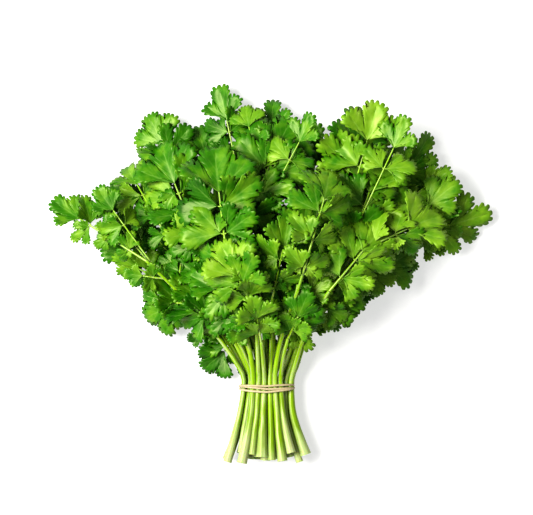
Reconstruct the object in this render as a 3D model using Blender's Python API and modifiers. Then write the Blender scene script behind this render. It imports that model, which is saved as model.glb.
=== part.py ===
"""Coriander bunch: cut sprigs lying on a surface, gathered at the stems by an elastic band.

Each sprig is one stem and one compound leaf. Lengths in the tables are millimetres, measured from
the centre of the band: +X to the right, +Y from the cut ends towards the leaves, +Z up.
The finished model is in metres, with its origin on the surface under the middle of the bunch.
"""

import math
import random
from typing import NamedTuple

import bpy
import numpy as np
from mathutils import Vector
from mathutils.bvhtree import BVHTree

MM = 0.001

# Driving dimensions, in millimetres.
STEM_LENGTH_BELOW_BAND = 43.0
STEM_RADIUS_AT_CUT = 2.5
STEM_RADIUS_AT_BAND = 1.5
STEM_RADIUS_AT_LEAF = 0.95
STEM_PITCH = 3.55  # from one stem to the next in a row, at the band
ROW_PITCH = 3.7  # from one row of stems to the next, at the band
LOWEST_ROW_HEIGHT = 6.0  # centre of the lowest stems at the band
FLARE_AT_CUT = 1.72  # how many times wider the bundle is at the cut ends than at the band
LOWEST_CUT_HEIGHT = 2.7
CUT_ROW_PITCH = 5.8
SWEEP_POWER = 1.35  # how late the stems bend outwards above the band
STEM_POINTS_BELOW = 3
STEM_POINTS_ABOVE = 7

LEAF_THICKNESS = 0.8
RACHIS_WIDTH = 1.8
CLEARANCE = 0.35  # least gap between neighbouring pieces
STEM_TO_LEAF_GAP = 0.5

BAND_CORD_RADIUS = 0.55
BAND_TURNS = 3
BAND_HALF_WIDTH = 2.0
BAND_HALF_DEPTH = 0.85
BAND_REACH = 4.5  # the stems stay level this far past the middle of the band
BAND_POINTS_PER_TURN = 22

# The foliage is a dome over the surface. Every leaf follows the dome at its own share of the height.
DOME_AT_BAND = 20.0
DOME_TOP = 92.0
DOME_TOP_AT = 95.0  # distance from the band to the highest ring
DOME_RIM_DROP = 46.0
DOME_RIM_FROM = 110.0
DOME_RIM_TO = 200.0
DOME_SIDE_DROP = 0.45  # share of the height lost at the fan's edges
DOME_EDGE_ANGLE = math.radians(55)
DOME_RIPPLE = 0.07

LEVEL_STEP = 0.01
HIGHEST_LEVEL = 1.35


class Sprig(NamedTuple):
    """One stem with its leaf: the row of the bundle that it comes from (0 is lowest), where the
    leaf's tip is, the leaf's heading there (degrees, 90 is +Y), its length, its pairs of side
    leaflets, the end leaflet's length and the angle of the side leaflets from the leaf's line."""

    row: int
    tip: tuple
    heading: float
    length: float
    pairs: int
    size: float
    splay: float = 62.0


# Lowest row first. The stems of a row stand side by side at the band in the order of their sweep.
SPRIGS = (
    Sprig(0, (-40, 10), 222, 36, 1, 18),
    Sprig(0, (-101, 99), 146, 70, 3, 21),
    Sprig(0, (-43, 163), 104, 76, 3, 21),
    Sprig(0, (32, 163), 84, 76, 3, 21),
    Sprig(0, (122, 105), 30, 76, 3, 20),
    Sprig(1, (-80, 41), 205, 48, 2, 22),
    Sprig(1, (-94, 82), 150, 58, 3, 16),
    Sprig(1, (-90, 142), 120, 66, 3, 18),
    Sprig(1, (-75, 170), 119, 66, 3, 21),
    Sprig(1, (-29, 185), 102, 66, 3, 19),
    Sprig(1, (4, 179), 88, 66, 3, 18),
    Sprig(1, (103, 155), 50, 64, 3, 19),
    Sprig(1, (137, 106), 12, 70, 3, 23),
    Sprig(1, (92, 84), 24, 56, 2, 23),
    Sprig(2, (-62, 58), 152, 44, 2, 22),
    Sprig(2, (-131, 114), 148, 66, 3, 17, 58.0),
    Sprig(2, (-67, 151), 112, 70, 3, 26),
    Sprig(2, (15, 168), 66, 80, 3, 28),
    Sprig(2, (58, 172), 84, 76, 3, 28),
    Sprig(2, (72, 145), 70, 66, 2, 25),
    Sprig(2, (109, 109), 25, 60, 2, 25),
    Sprig(2, (74, 103), 50, 56, 2, 24),
    Sprig(2, (57, 56), 18, 46, 2, 20),
    Sprig(3, (-33, 150), 97, 86, 3, 29),
    Sprig(3, (41, 138), 74, 80, 3, 22),
    Sprig(3, (-29, 90), 118, 46, 2, 23),
    Sprig(3, (14, 106), 78, 52, 2, 20),
    Sprig(3, (-9, 60), 100, 32, 2, 17, 74.0),
    Sprig(3, (26, 60), 66, 32, 2, 17, 74.0),
)
ROW_LEVELS = (0.04, 0.23, 0.45, 0.7)  # the share of the dome's height where each row starts

# Outline of a leaflet, as (degrees from its line, share of its length): three blunt lobes.
LEAFLET_OUTLINE = ((-54, 0.66), (-33, 0.8), (-23, 0.6), (-12, 0.98), (12, 0.98), (23, 0.6), (33, 0.8), (54, 0.66))
LEAFLET_MIDDLE = 0.3
PETIOLULE_SHARE = 0.2  # a side leaflet's stalk, as a share of the leaflet
PAIR_SIZES = (0.92, 0.8, 0.66)  # side leaflets against the end leaflet, from the tip down
ROW_TILTS = (12, 20, 20, 20)  # degrees that the side leaflets turn, to lie over each other like tiles


def smooth(t):
    t = min(max(t, 0.0), 1.0)
    return t * t * (3 - 2 * t)


def dome(x, y):
    """Height of the top of the foliage over a point, in millimetres."""
    reach = math.hypot(x, y + 10)
    swing = math.atan2(x, y + 10)
    height = DOME_AT_BAND + (DOME_TOP - DOME_AT_BAND) * smooth(reach / DOME_TOP_AT)
    height -= DOME_RIM_DROP * smooth((reach - DOME_RIM_FROM) / (DOME_RIM_TO - DOME_RIM_FROM))
    side = min(abs(swing) / DOME_EDGE_ANGLE, 1.3)
    height *= 1 - DOME_SIDE_DROP * side**2
    return height * (1 + DOME_RIPPLE * math.sin(x / 13 + 1.0) * math.cos(y / 16))


def direction(degrees):
    return Vector((math.cos(math.radians(degrees)), math.sin(math.radians(degrees))))


# ---- the leaf: a thin sheet with a midrib and lobed leaflets ----


class Sheet:
    """Plan of a compound leaf, built up point by point: a strip for its rachis and stalks, and a
    fan of faces for each leaflet. Each point also has its height above the leaf's own surface."""

    def __init__(self):
        self.points = []
        self.lifts = []
        self.faces = []

    def add(self, point, lift=0.0):
        self.points.append(Vector(point))
        self.lifts.append(lift)
        return len(self.points) - 1

    def leaflet(self, left, right, base, heading, length, tilt=0.0):
        """A three-lobed blade that grows from the edge left-right, pointing along heading. Its
        right side is raised by tilt."""
        middle = self.add(base + direction(heading) * length * LEAFLET_MIDDLE)
        rim = []
        for a, share in LEAFLET_OUTLINE[::-1]:
            out = direction(heading + a) * length * share
            rim.append(self.add(base + out, -tilt * math.sin(math.radians(a)) * length * share))
        rim = [left, *rim, right]
        for a, b in zip(rim, rim[1:]):
            self.faces.append((middle, b, a))
        self.faces.append((middle, left, right))


def leaf_plan(sprig):
    """The leaf's Sheet and the point where its stalk starts, in plan."""
    sheet = Sheet()
    half = RACHIS_WIDTH / 2
    ahead = direction(sprig.heading)
    aside = direction(sprig.heading + 90)
    root = Vector(sprig.tip) - ahead * sprig.length
    rachis = sprig.length - sprig.size
    # From the tip down, each pair sits far enough below the last for its leaflets to lie clear.
    step = rachis / (sprig.pairs + 0.35)
    stations = [rachis - step * (0.55 + k) for k in range(sprig.pairs)][::-1]
    tilt = math.tan(math.radians(ROW_TILTS[sprig.row]))
    left = sheet.add(root + aside * half)
    right = sheet.add(root - aside * half)
    for number, along in enumerate(stations):
        size = sprig.size * PAIR_SIZES[sprig.pairs - 1 - number]
        low_left = sheet.add(root + ahead * (along - half) + aside * half)
        low_right = sheet.add(root + ahead * (along - half) - aside * half)
        high_left = sheet.add(root + ahead * (along + half) + aside * half)
        high_right = sheet.add(root + ahead * (along + half) - aside * half)
        sheet.faces.append((left, right, low_right, low_left))
        sheet.faces.append((low_left, low_right, high_right, high_left))
        for side, near, far in ((1, low_left, high_left), (-1, high_right, low_right)):
            turned = sprig.heading + side * sprig.splay
            out = direction(turned)
            base = root + ahead * along + aside * half * side + out * size * PETIOLULE_SHARE
            across = direction(turned + 90) * half * 0.7
            stalk_left, stalk_right = sheet.add(base + across), sheet.add(base - across)
            sheet.faces.append((near, far, stalk_right, stalk_left))
            sheet.leaflet(stalk_left, stalk_right, base, turned, size, side * tilt)
        left, right = high_left, high_right
    base = root + ahead * rachis
    end_left, end_right = sheet.add(base + aside * half * 0.7), sheet.add(base - aside * half * 0.7)
    sheet.faces.append((left, right, end_right, end_left))
    sheet.leaflet(end_left, end_right, base, sprig.heading, sprig.size)
    return sheet, root


def rim_of(faces):
    """The sheet's open edges, each in the direction of the face that has it."""
    edges = {}
    for face in faces:
        for a, b in zip(face, face[1:] + face[:1]):
            edges[(a, b)] = (b, a) not in edges
            if (b, a) in edges:
                edges[(b, a)] = False
    return [edge for edge, is_open in edges.items() if is_open]


def sheet_space(points, faces):
    """A closed prism round the sheet, with half the clearance on each side, for the overlap test."""
    half = Vector((0, 0, LEAF_THICKNESS / 2 + CLEARANCE / 2))
    count = len(points)
    both = [p + half for p in points] + [p - half for p in points]
    lower = [tuple(i + count for i in reversed(face)) for face in faces]
    walls = [(b, a, a + count, b + count) for a, b in rim_of(faces)]
    return BVHTree.FromPolygons(both, [*faces, *lower, *walls])


# ---- the stem: a tapered tube from the cut end, through the band, to the leaf ----


def stem_route(slot, root, root_height, rng):
    """Centres and radii of a stem from its cut end to its leaf. slot is its place at the band."""
    row, x_band = slot
    z_band = LOWEST_ROW_HEIGHT + row * ROW_PITCH
    z_cut = LOWEST_CUT_HEIGHT + row * CUT_ROW_PITCH
    length = STEM_LENGTH_BELOW_BAND + rng.uniform(-3.5, 2.5)
    girth = rng.uniform(0.86, 1.06)
    route = []
    for k in range(STEM_POINTS_BELOW):
        y = -length * (1 - k / STEM_POINTS_BELOW)
        t = -y / STEM_LENGTH_BELOW_BAND  # 1 at the cut ends, 0 at the band
        x = x_band * (1 + (FLARE_AT_CUT - 1) * t**1.6)
        z = z_band + (z_cut - z_band) * t**1.4
        radius = STEM_RADIUS_AT_BAND + (STEM_RADIUS_AT_CUT - STEM_RADIUS_AT_BAND) * t**1.5
        route.append((Vector((x, y, z)), radius * girth))
    for k in range(STEM_POINTS_ABOVE + 1):
        t = k / STEM_POINTS_ABOVE
        x = x_band + (root.x - x_band) * t**SWEEP_POWER
        y = BAND_REACH + (root.y - BAND_REACH) * t
        z = z_band + (root_height - z_band) * (0.55 * t + 0.45 * t * t)
        radius = STEM_RADIUS_AT_BAND + (STEM_RADIUS_AT_LEAF - STEM_RADIUS_AT_BAND) * t
        route.append((Vector((x, y, z)), radius * girth))
    return route


def tube_space(route):
    """A six-sided tube round the route, with half the clearance added, for the overlap test."""
    sides = 6
    points, faces = [], []
    for i, (centre, radius) in enumerate(route):
        before, after = route[max(i - 1, 0)][0], route[min(i + 1, len(route) - 1)][0]
        along = (after - before).normalized()
        across = along.cross(Vector((0, 0, 1))).normalized()
        up = across.cross(along)
        for s in range(sides):
            a = math.tau * s / sides
            points.append(centre + (across * math.cos(a) + up * math.sin(a)) * (radius + CLEARANCE / 2))
        if i:
            base = (i - 1) * sides
            for s in range(sides):
                n = (s + 1) % sides
                faces.append((base + s, base + n, base + sides + n, base + sides + s))
    faces.append(tuple(range(sides)))
    faces.append(tuple(range(len(points) - sides, len(points))))
    return BVHTree.FromPolygons(points, faces)


# ---- the bunch: a place at the band for each stem, and a height for each leaf ----


def band_slots():
    """The place of each sprig's stem at the band, as (row, x): each row is sorted by how far its
    stems sweep aside, so that none crosses another."""
    slots = {}
    rows = sorted({sprig.row for sprig in SPRIGS})
    for row in rows:
        members = [i for i, sprig in enumerate(SPRIGS) if sprig.row == row]
        roots = {i: leaf_plan(SPRIGS[i])[1] for i in members}
        members.sort(key=lambda i: roots[i].x / max(roots[i].y, 12.0) ** SWEEP_POWER)
        middle = (len(members) - 1) / 2
        for place, i in enumerate(members):
            slots[i] = (row, (place - middle) * STEM_PITCH)
    return slots


def settle(sprig, slot, rng_seed, taken):
    """Lifts the sprig in small steps until its stem and leaf lie clear of everything in taken.
    Returns the leaf's points, its faces and the stem's route."""
    sheet, root = leaf_plan(sprig)
    # The more the leaf turns off the stem's own line, the wider the gap between them.
    arrival = Vector(((root.x - slot[1]) * SWEEP_POWER, root.y - BAND_REACH)).normalized()
    gap = STEM_TO_LEAF_GAP * (1 + 2.6 * (1 - arrival.dot(direction(sprig.heading))))
    level = ROW_LEVELS[sprig.row]
    while level < HIGHEST_LEVEL:
        lowest = LEAF_THICKNESS / 2 + 0.1
        heights = [level * dome(p.x, p.y) + lift for p, lift in zip(sheet.points, sheet.lifts)]
        points = [Vector((p.x, p.y, max(z, lowest))) for p, z in zip(sheet.points, heights)]
        end_height = max(points[0].z, STEM_RADIUS_AT_LEAF + 0.2)
        start = root - direction(sprig.heading) * gap
        route = stem_route(slot, start, end_height, random.Random(rng_seed))
        spaces = [sheet_space(points, sheet.faces), tube_space(route)]
        if not any(space.overlap(other) for space in spaces for other in taken):
            taken.extend(spaces)
            return points, sheet.faces, route
        level += LEVEL_STEP
    raise RuntimeError(f"no free height for the sprig with its tip at {sprig.tip}")


# ---- the elastic band: one closed cord that goes round the stems three times ----


def band_route():
    """Points of the cord. Its turns go round each other, so that they lie side by side."""
    rows = max(sprig.row for sprig in SPRIGS) + 1
    widest = max(sum(1 for sprig in SPRIGS if sprig.row == row) for row in range(rows))
    clear = STEM_RADIUS_AT_BAND * 1.06 + 2 * CLEARANCE + BAND_CORD_RADIUS + BAND_HALF_DEPTH
    half_width = (widest - 1) / 2 * STEM_PITCH + clear
    half_height = (rows - 1) / 2 * ROW_PITCH + clear
    middle = LOWEST_ROW_HEIGHT + (rows - 1) / 2 * ROW_PITCH
    squareness = 2.6  # a superellipse, between an ellipse and the box round the rows
    count = BAND_TURNS * BAND_POINTS_PER_TURN
    points = []
    for k in range(count):
        turn = math.tau * BAND_TURNS * k / count
        phase = turn / BAND_TURNS + math.radians(40)
        c, s = math.cos(turn), math.sin(turn)
        grow = (abs(c) ** squareness + abs(s) ** squareness) ** (-1 / squareness)
        out = BAND_HALF_DEPTH * math.sin(phase)
        x = c * grow * (half_width + out)
        z = middle + s * grow * (half_height + out)
        points.append(Vector((x, BAND_HALF_WIDTH * math.cos(phase), z)))
    return points


# ---- Blender objects ----


def material(name, colour, roughness):
    made = bpy.data.materials.new(name)
    made.use_nodes = True
    shader = made.node_tree.nodes["Principled BSDF"]
    shader.inputs["Base Color"].default_value = (*colour, 1.0)
    shader.inputs["Roughness"].default_value = roughness
    shader.inputs["Metallic"].default_value = 0.0
    made.diffuse_color = (*colour, 1.0)
    return made


def place(obj, finish, collection):
    obj.data.materials.append(finish)
    collection.objects.link(obj)
    return obj


def tube_object(name, centres, radii, closed, bevel_resolution):
    """A round cord or stem as a curve object, with its own radius at each point."""
    curve = bpy.data.curves.new(name, "CURVE")
    curve.dimensions = "3D"
    curve.bevel_depth = MM
    curve.bevel_resolution = bevel_resolution
    curve.use_fill_caps = True
    spline = curve.splines.new("POLY")
    spline.points.add(len(centres) - 1)
    for point, centre, radius in zip(spline.points, centres, radii):
        point.co = (*(centre * MM), 1.0)
        point.radius = radius
    spline.use_cyclic_u = closed
    spline.use_smooth = True
    return bpy.data.objects.new(name, curve)


def leaf_object(name, points, faces):
    """The leaf's sheet, given its thickness by a Solidify modifier."""
    mesh = bpy.data.meshes.new(name)
    mesh.from_pydata([p * MM for p in points], [], faces)
    mesh.update()
    obj = bpy.data.objects.new(name, mesh)
    shell = obj.modifiers.new("thickness", "SOLIDIFY")
    shell.thickness = LEAF_THICKNESS * MM
    shell.offset = 0.0
    return obj


def rest_on_floor_at_origin(collection):
    """Moves every piece alike, so that the bunch stands on z = 0 with its box centred on the origin."""
    bpy.context.view_layer.update()
    graph = bpy.context.evaluated_depsgraph_get()
    corners = []
    for obj in collection.objects:
        evaluated = obj.evaluated_get(graph)
        mesh = evaluated.to_mesh()
        corners.extend([obj.matrix_world @ v.co for v in mesh.vertices])
        evaluated.to_mesh_clear()
    corners = np.array(corners)
    low, high = corners.min(axis=0), corners.max(axis=0)
    shift = Vector((-(low[0] + high[0]) / 2, -(low[1] + high[1]) / 2, -low[2]))
    for obj in collection.objects:
        obj.location = shift
    print("bunch", ["%.1f" % (side / MM) for side in high - low], "mm, moved by", [round(v / MM, 2) for v in shift])


def build():
    for old in list(bpy.data.objects):
        bpy.data.objects.remove(old)
    bunch = bpy.data.collections.new("coriander_bunch")
    bpy.context.scene.collection.children.link(bunch)
    leaf_green = material("leaf_green", (0.10, 0.33, 0.02), 0.5)
    stem_green = material("stem_green", (0.42, 0.63, 0.10), 0.4)
    band_tan = material("band_tan", (0.78, 0.58, 0.34), 0.6)

    slots = band_slots()
    # Long leaves first within a row: the short ones then lie over their stems.
    order = sorted(range(len(SPRIGS)), key=lambda i: (SPRIGS[i].row, -Vector(SPRIGS[i].tip).length))
    taken = []
    for i in order:
        points, faces, route = settle(SPRIGS[i], slots[i], i, taken)
        number = f"{i + 1:02d}"
        place(leaf_object(f"leaf_{number}", points, faces), leaf_green, bunch)
        centres, radii = [centre for centre, _ in route], [radius for _, radius in route]
        place(tube_object(f"stem_{number}", centres, radii, False, 1), stem_green, bunch)
    cord = band_route()
    place(tube_object("elastic_band", cord, [BAND_CORD_RADIUS] * len(cord), True, 1), band_tan, bunch)
    rest_on_floor_at_origin(bunch)


build()
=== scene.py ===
# %% [markdown]
# # A bunch of coriander
#
# A bunch of fresh coriander lies on a pale table. Its long stems are gathered by an elastic band
# and open into a wide fan of lobed leaflets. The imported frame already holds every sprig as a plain
# stem and a plain leaf, so this lesson measures those solids and grows the fine plant on them:
# ribbed stems, soft blades with veins and teeth, and a wound rubber band.

# %% Load the frame and keep its box
import math
import random

import bpy
import numpy as np
from mathutils import Matrix, Vector
from mathutils.bvhtree import BVHTree


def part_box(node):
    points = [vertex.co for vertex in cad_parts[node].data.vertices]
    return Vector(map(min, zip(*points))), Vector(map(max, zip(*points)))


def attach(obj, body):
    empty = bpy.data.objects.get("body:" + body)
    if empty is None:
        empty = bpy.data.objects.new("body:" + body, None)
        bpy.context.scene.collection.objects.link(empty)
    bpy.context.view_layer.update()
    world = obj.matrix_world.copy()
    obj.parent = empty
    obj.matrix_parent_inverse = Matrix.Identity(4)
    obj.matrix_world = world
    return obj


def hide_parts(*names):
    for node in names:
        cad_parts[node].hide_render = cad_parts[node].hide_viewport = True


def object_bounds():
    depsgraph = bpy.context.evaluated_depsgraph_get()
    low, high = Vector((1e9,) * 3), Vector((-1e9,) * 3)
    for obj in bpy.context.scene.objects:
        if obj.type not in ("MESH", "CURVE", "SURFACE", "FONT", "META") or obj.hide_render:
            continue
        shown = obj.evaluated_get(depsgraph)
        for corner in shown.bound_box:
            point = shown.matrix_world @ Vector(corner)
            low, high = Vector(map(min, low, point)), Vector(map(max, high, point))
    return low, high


MM = 0.001
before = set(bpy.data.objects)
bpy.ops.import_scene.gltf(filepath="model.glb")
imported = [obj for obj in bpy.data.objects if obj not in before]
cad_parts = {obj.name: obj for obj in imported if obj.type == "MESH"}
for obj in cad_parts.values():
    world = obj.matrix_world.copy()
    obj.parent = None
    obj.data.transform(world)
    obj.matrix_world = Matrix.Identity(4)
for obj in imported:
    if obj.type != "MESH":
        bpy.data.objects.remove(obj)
cad_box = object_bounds()
SPRIGS = sum(1 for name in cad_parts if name.startswith("stem_"))
print("sprigs in the frame:", SPRIGS)
print("box in mm:", [[round(v / MM, 1) for v in corner] for corner in cad_box])

# %% [markdown]
# ## Table, light and camera
#
# A bunch like this is usually shown from straight above on white, in soft daylight from one side.
# The table could be a modelled board, but only its surface is ever seen, so a plain plane does. One
# large area light stands for the window, high up on the left, and the sky fills the shadows. A long
# lens keeps the high leaves from looking bigger than the low ones.

# %% Colours and nodes


def linear(code):
    """A linear colour for the shaders from an sRGB hex code such as 5a9a20."""
    shares = [int(code[i : i + 2], 16) / 255 for i in (0, 2, 4)]
    return [c / 12.92 if c <= 0.04045 else ((c + 0.055) / 1.055) ** 2.4 for c in shares] + [1.0]


def add(material, kind, inputs=(), **settings):
    """Adds one shader node, changes its settings, and links or sets its inputs by name or place."""
    made = material.node_tree.nodes.new("ShaderNode" + kind)
    for name, value in settings.items():
        setattr(made, name, value)
    for name, value in dict(inputs).items():
        if isinstance(value, bpy.types.NodeSocket):
            material.node_tree.links.new(value, made.inputs[name])
        else:
            made.inputs[name].default_value = value
    return made


def ramp_of(material, share, stops):
    """Colours over a share. The first two stops are the ends, any others are added between them."""
    ramp = add(material, "ValToRGB", {0: share})
    for i, (at, code) in enumerate(stops):
        stop = ramp.color_ramp.elements[i] if i < 2 else ramp.color_ramp.elements.new(at)
        stop.position, stop.color = at, linear(code)
    return ramp.outputs[0]


def new_material(name):
    """An empty node material and its output node."""
    material = bpy.data.materials.new(name)
    material.use_nodes = True
    material.node_tree.nodes.clear()
    return material, add(material, "OutputMaterial")


# %% The table

# Matte paint has no shine, only a faint grain. It is grey and glows a little, like a light table:
# together that reads as white, and the shadows on it stay soft.
TABLE_SIZE = 6.0
table_paint, output = new_material("matte_white_table")
grain = add(table_paint, "TexNoise", {"Scale": 30.0, "Detail": 3.0})
paint = {
    "Base Color": ramp_of(table_paint, grain.outputs["Fac"], ((0.0, "a3a3a2"), (1.0, "a7a7a7"))),
    "Roughness": 0.85,
    "Emission Color": (1.0, 1.0, 1.0, 1.0),
    "Emission Strength": 0.44,
}
surface = add(table_paint, "BsdfPrincipled", paint)
table_paint.node_tree.links.new(surface.outputs[0], output.inputs[0])

bpy.ops.object.select_all(action="DESELECT")
bpy.ops.mesh.primitive_plane_add(size=TABLE_SIZE, location=(0, 0, 0))
table = bpy.context.object
table.name = "table"
table.data.materials.append(table_paint)
print("table:", TABLE_SIZE, "m wide")

# %% Window light and sky

LEAF_HEIGHT = 0.03
WINDOW_PLACE = Vector((-1.02, 0.24, 1.52))
bpy.ops.object.light_add(type="AREA")
window = bpy.context.object
window.name = "window_light"
window.data.size = 0.9
window.data.energy = 58.0
window.data.color = (1.0, 0.985, 0.95)
window.location = WINDOW_PLACE
to_leaves = Vector((0, 0, LEAF_HEIGHT)) - WINDOW_PLACE
window.rotation_euler = to_leaves.to_track_quat("-Z", "Y").to_euler()

sky = bpy.data.worlds.new("soft_sky")
sky.use_nodes = True
sky.node_tree.nodes["Background"].inputs["Color"].default_value = (1.0, 1.0, 1.0, 1.0)
sky.node_tree.nodes["Background"].inputs["Strength"].default_value = 0.32
bpy.context.scene.world = sky
bpy.context.scene.view_settings.view_transform = "Standard"
bpy.context.scene.view_settings.look = "High Contrast"
print("from the window to the leaves:", round(to_leaves.length, 2), "m")

# %% Camera

CAMERA_HEIGHT = 2.2
VIEW_WIDTH = 0.3305  # how much of the table the picture's width takes in, at the leaves' height
VIEW_CENTRE = (-0.0027, 0.01135)
bpy.ops.object.camera_add(location=(*VIEW_CENTRE, CAMERA_HEIGHT), rotation=(0, 0, 0))
camera = bpy.context.object
camera.name = "camera"
camera.data.sensor_width = 36.0
camera.data.lens = camera.data.sensor_width * (CAMERA_HEIGHT - LEAF_HEIGHT) / VIEW_WIDTH
bpy.context.scene.camera = camera
print("lens:", round(camera.data.lens), "mm")

# %% [markdown]
# ## Measuring the sprigs
#
# Every stem in the frame is a tube of eleven rings with six corners each, so its middle line comes
# straight from its corners. Every leaf is a thin sheet: its nearest corners to the stem are where
# its stalk starts, its farthest are the end of its last leaflet. Reading these numbers off the
# solids keeps the fine plant where the plain one is, whatever is changed there later.

# %% Corners and stems of the frame

RING_CORNERS = 6


def places(mesh):
    """The places of a mesh's points, one to a row."""
    flat = np.empty(len(mesh.vertices) * 3, np.float32)
    mesh.vertices.foreach_get("co", flat)
    return flat.reshape(-1, 3)


def corners(node):
    """The different corners of a solid."""
    return np.unique(np.round(places(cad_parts[node].data).astype(float), 6), axis=0)


def measure_stem(node):
    """Middles and radii of a stem's rings, from the cut end to the leaf."""
    rings = corners(node)
    rings = rings[np.argsort(rings[:, 1])].reshape(-1, RING_CORNERS, 3)
    middles = rings.mean(axis=1)
    radii = np.linalg.norm(rings - middles[:, None], axis=2).mean(axis=1)
    return [Vector(m) for m in middles], list(radii)


stems = [measure_stem(f"stem_{i + 1:02d}") for i in range(SPRIGS)]
print("rings in a stem:", len(stems[0][0]))
print("radii at the cut, mm:", [round(radii[0] / MM, 1) for _, radii in stems])

# %% Leaves of the frame

END_CORNERS = 4  # a sheet is cut off square at both ends: two corners above and two below
BARE_CORNERS = 13  # corners on one side of a sheet with only its end leaflet
PAIR_CORNERS = 26  # and what each pair of side leaflets adds to them
FRONT_ANGLE = math.radians(12)  # the end leaflet's front corners stand this far off its line
FRONT_REACH = 0.98  # and this share of its length from its base


def measure_leaf(node, stem_end):
    """Where a leaf starts and points, in plan, with its size and its pairs of side leaflets."""
    points = corners(node)
    away = np.linalg.norm(points - np.array(stem_end), axis=1)
    root = Vector(points[np.argsort(away)[:END_CORNERS]].mean(axis=0))
    reach = np.linalg.norm(points[:, :2] - np.array(root)[:2], axis=1)
    far = points[np.argsort(-reach)[:END_CORNERS]]
    line = (Vector(far.mean(axis=0)) - root).xy
    corner_gap = np.ptp(far @ np.array([-line.y, line.x, 0])) / line.length
    size = corner_gap / (2 * FRONT_REACH * math.sin(FRONT_ANGLE))
    pairs = round((len(points) / 2 - BARE_CORNERS) / PAIR_CORNERS)
    rachis = line.length - FRONT_REACH * math.cos(FRONT_ANGLE) * size
    return {"root": root, "ahead": line.normalized(), "rachis": rachis, "size": size, "pairs": pairs}


leaves = [measure_leaf(f"leaf_{i + 1:02d}", stems[i][0][-1]) for i in range(SPRIGS)]
print("end leaflets, mm:", [round(leaf["size"] / MM) for leaf in leaves])
print("pairs:", [leaf["pairs"] for leaf in leaves])

# %% [markdown]
# ## Green of the leaves
#
# A coriander blade is thin living tissue. Its upper side is satin, with a main vein up every lobe
# and side veins that leave it for the teeth, and some light comes through it. Its under side is
# paler and duller. The veins could be drawn as a picture, but here they follow the blade's own UV
# map, which is laid along them: V runs from a main vein to the toothed edge, U along that edge. Each
# leaflet also carries its tone, from dark green to yellow-green, so that one material can serve them
# all. Some of that tone differs at random, but most of it is painted shade and painted light: darker
# low in the fan's middle, paler high up, at the rim and on the right.

# %% The blade's two materials

SIDE_VEINS = 26  # round a leaflet, about one to a tooth


def blade_material(name, tones, vein, vein_share, roughness, glow):
    """A leaf's surface: painted tones from shaded dark green to lit pale green, paler veins, and light
    that shines through.
    """
    material, output = new_material(name)
    uv = add(material, "UVMap", uv_map="UVMap")
    split = add(material, "SeparateXYZ", {0: uv.outputs[0]})
    tone = add(material, "Attribute", attribute_name="tone")
    place = add(material, "TexCoord")
    spot = place.outputs["Object"]
    # Soft patches about 8 mm across, with finer mottling in them.
    cloud = add(material, "TexNoise", {"Vector": spot, "Scale": 120.0, "Detail": 5.0})
    patch = {0: cloud.outputs["Fac"], 1: 0.3, 2: 0.7, 3: -0.14, 4: 0.14}
    shifted = add(material, "MapRange", patch)
    mixed = add(material, "Math", {0: tone.outputs["Fac"], 1: shifted.outputs[0]}, operation="ADD")
    greens = ramp_of(material, mixed.outputs[0], tones)
    # The main vein runs where V is zero. Side veins fan out from it to the teeth and fade.
    main = add(material, "MapRange", {0: split.outputs[1], 1: 0.01, 2: 0.11, 3: 1.0, 4: 0.0})
    side = add(material, "Math", {0: split.outputs[0], 1: math.tau * SIDE_VEINS}, operation="MULTIPLY")
    side = add(material, "Math", {0: side.outputs[0]}, operation="COSINE")
    side = add(material, "MapRange", {0: side.outputs[0], 1: -0.6, 2: -1.0, 3: 0.0, 4: 1.0})
    fade = add(material, "MapRange", {0: split.outputs[1], 1: 0.1, 2: 0.9, 3: 0.4, 4: 0.0})
    fan = {0: side.outputs[0], 1: fade.outputs[0], 2: main.outputs[0]}
    veins = add(material, "Math", fan, operation="MULTIPLY_ADD", use_clamp=True)
    share = add(material, "Math", {0: veins.outputs[0], 1: vein_share}, operation="MULTIPLY")
    blend = {0: share.outputs[0], 6: greens, 7: linear(vein)}
    colour = add(material, "Mix", blend, data_type="RGBA")
    # Veins lie in shallow grooves, and the skin between them is finely puffed.
    puffs = add(material, "TexNoise", {"Vector": spot, "Scale": 700.0, "Detail": 2.0})
    groove = {0: veins.outputs[0], 1: -0.6, 2: puffs.outputs["Fac"]}
    height = add(material, "Math", groove, operation="MULTIPLY_ADD")
    relief = {"Height": height.outputs[0], "Strength": 0.2, "Distance": 0.2 * MM}
    bump = add(material, "Bump", relief)
    # The skin's wax gives a broad soft shine, turned a little yellow by the green under it.
    wax = {
        "Base Color": colour.outputs[2],
        "Roughness": roughness,
        "IOR": 1.45,
        "Specular IOR Level": 0.7,
        "Specular Tint": (1.0, 1.0, 0.6, 1.0),
        "Normal": bump.outputs[0],
    }
    skin = add(material, "BsdfPrincipled", wax)
    through = add(material, "BsdfTranslucent", {"Color": colour.outputs[2]})
    both = add(material, "MixShader", {0: glow, 1: skin.outputs[0], 2: through.outputs[0]})
    material.node_tree.links.new(both.outputs[0], output.inputs[0])
    return material


# Low tones go where the leaflets are painted as shaded, high ones where they are painted as lit.
UPPER_TONES = ((0.0, "084a00"), (1.0, "b8ce78"), (0.3, "387a00"), (0.6, "80a828"))
UNDER_TONES = ((0.0, "2a5e08"), (1.0, "b4c874"), (0.3, "488014"), (0.6, "80a638"))
blade_upper = blade_material("coriander_blade_upper", UPPER_TONES, "a8cc70", 0.22, 0.44, 0.2)
blade_under = blade_material("coriander_blade_under", UNDER_TONES, "b5d488", 0.4, 0.6, 0.2)
print("blades:", blade_upper.name, "and", blade_under.name)

# %% [markdown]
# ## Green of the stems
#
# A fresh coriander stem is yellow-green and a little glossy, with fine ribs along it. It is palest
# at the cut, where it never saw the sun, and the cut itself shows pale wet pith. Its colour could be
# painted on, but one ramp along the bunch does for every stem, moved a little for each. Some light
# gets a couple of millimetres into the wet tissue, which keeps the gaps between the stems green.

# %% Stem skin and pith

band_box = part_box("elastic_band")
GREEN_BY = 80 * MM  # above the band the stems have turned fully green after this much


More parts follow.
